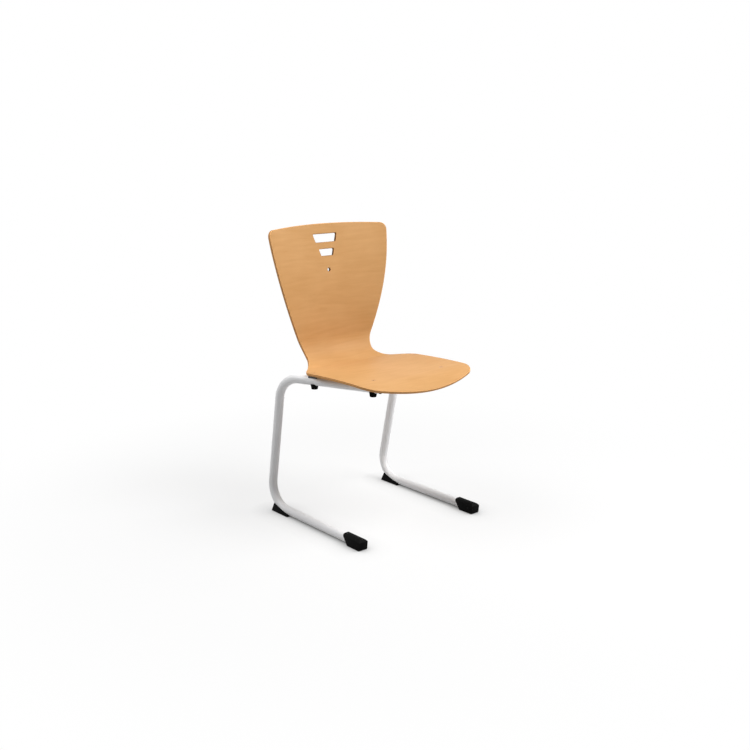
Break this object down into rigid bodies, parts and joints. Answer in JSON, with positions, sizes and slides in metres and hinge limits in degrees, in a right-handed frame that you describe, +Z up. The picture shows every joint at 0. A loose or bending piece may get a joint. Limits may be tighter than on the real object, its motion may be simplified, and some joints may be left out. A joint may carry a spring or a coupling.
{
  "type": "preschool chair",
  "caption": "Small cantilever chair: a moulded plywood shell with cut-out hand holds, screwed to two C-shaped tube frames with black front caps, rear glides and stacking buffers.",
  "frame": {"origin": "on the floor, in the middle of the chair's width and depth", "axes": "+X to the sitter's left, -Y the way the sitter faces, +Z up"},
  "size_m": [0.3706, 0.3868, 0.6563],
  "materials": {
    "beech_plywood": "clear satin lacquer on beech veneer",
    "frame_paint": "light grey powder coat, semi-gloss",
    "black_plastic": "moulded black plastic, fine grain",
    "saddle_plastic": "moulded dark grey plastic",
    "buffer_rubber": "matt black rubber",
    "screw_paint": "steel lacquered light brown, to match the wood",
    "zinc_steel": "bright zinc plating"
  },
  "bodies": {
    "root": {"plywood_shell": "beech_plywood", "left_side_frame": "frame_paint", "right_side_frame": "frame_paint", "front_cross_tube": "frame_paint", "rear_cross_tube": "frame_paint", "left_front_cap": "black_plastic", "right_front_cap": "black_plastic", "left_rear_glide": "black_plastic", "right_rear_glide": "black_plastic", "left_tube_plug": "black_plastic", "right_tube_plug": "black_plastic", "front_left_saddle": "saddle_plastic", "front_right_saddle": "saddle_plastic", "rear_left_saddle": "saddle_plastic", "rear_right_saddle": "saddle_plastic", "front_left_buffer": "buffer_rubber", "front_right_buffer": "buffer_rubber", "rear_left_buffer": "buffer_rubber", "rear_right_buffer": "buffer_rubber", "seat_screws": "screw_paint", "seat_nuts": "zinc_steel", "glide_screws": "zinc_steel"}
  },
  "joints": []
}
